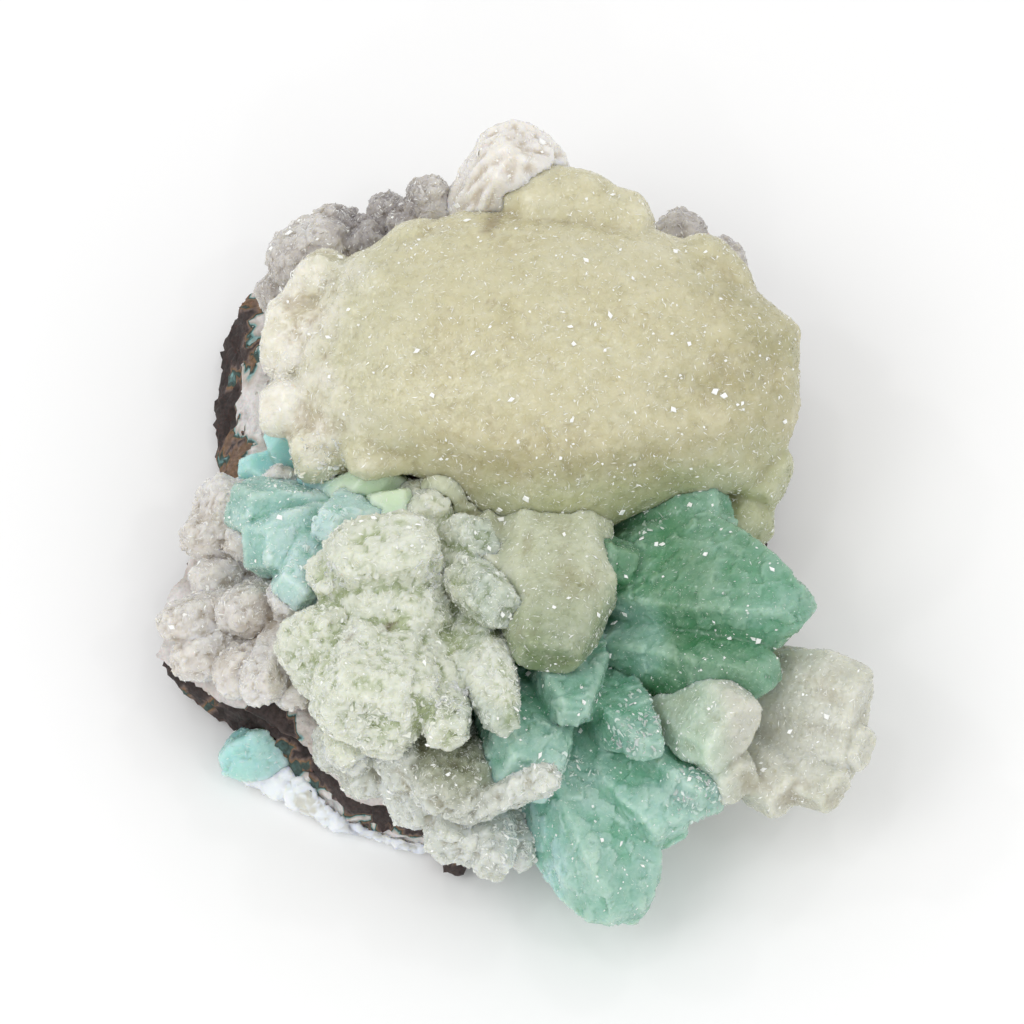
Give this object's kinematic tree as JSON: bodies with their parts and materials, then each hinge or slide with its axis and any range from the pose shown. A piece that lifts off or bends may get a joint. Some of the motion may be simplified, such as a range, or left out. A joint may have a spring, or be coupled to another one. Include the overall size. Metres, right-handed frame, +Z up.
{
  "type": "mineral specimen",
  "caption": "Mineral specimen: straw-yellow stilbite sheaves and sea-green apophyllite points grown on a basalt plate.",
  "frame": {"origin": "on the flat foot of the basalt plate, near its middle", "axes": "+Z up from the foot through the crystals, +Y up the crystal face towards its top block, +X to the right as the crystals are seen"},
  "size_m": [0.1119, 0.1251, 0.051],
  "materials": {
    "basalt": "rough",
    "druse": "rough",
    "stilbite_straw": "sugary",
    "stilbite_cream": "sugary",
    "stilbite_grey": "sugary",
    "stilbite_white": "pearly",
    "apophyllite_green": "sugary",
    "apophyllite_aqua": "vitreous",
    "chalcedony": "satin"
  },
  "bodies": {
    "root": {"basalt_matrix": "basalt", "druse_crust": "druse", "stilbite_main_sheaf": "stilbite_straw", "stilbite_bow_tie": "stilbite_cream", "stilbite_lower_fan": "stilbite_straw", "stilbite_top_block": "stilbite_white", "stilbite_rear_left": "stilbite_grey", "stilbite_rear_right": "stilbite_grey", "stilbite_left_rim": "stilbite_grey", "stilbite_front": "stilbite_cream", "stilbite_right_fan": "stilbite_grey", "apophyllite_right": "apophyllite_green", "apophyllite_front": "apophyllite_green", "apophyllite_centre": "apophyllite_green", "apophyllite_left": "apophyllite_aqua", "apophyllite_inner": "apophyllite_aqua", "apophyllite_base": "apophyllite_aqua", "chalcedony_base": "chalcedony"}
  },
  "joints": []
}
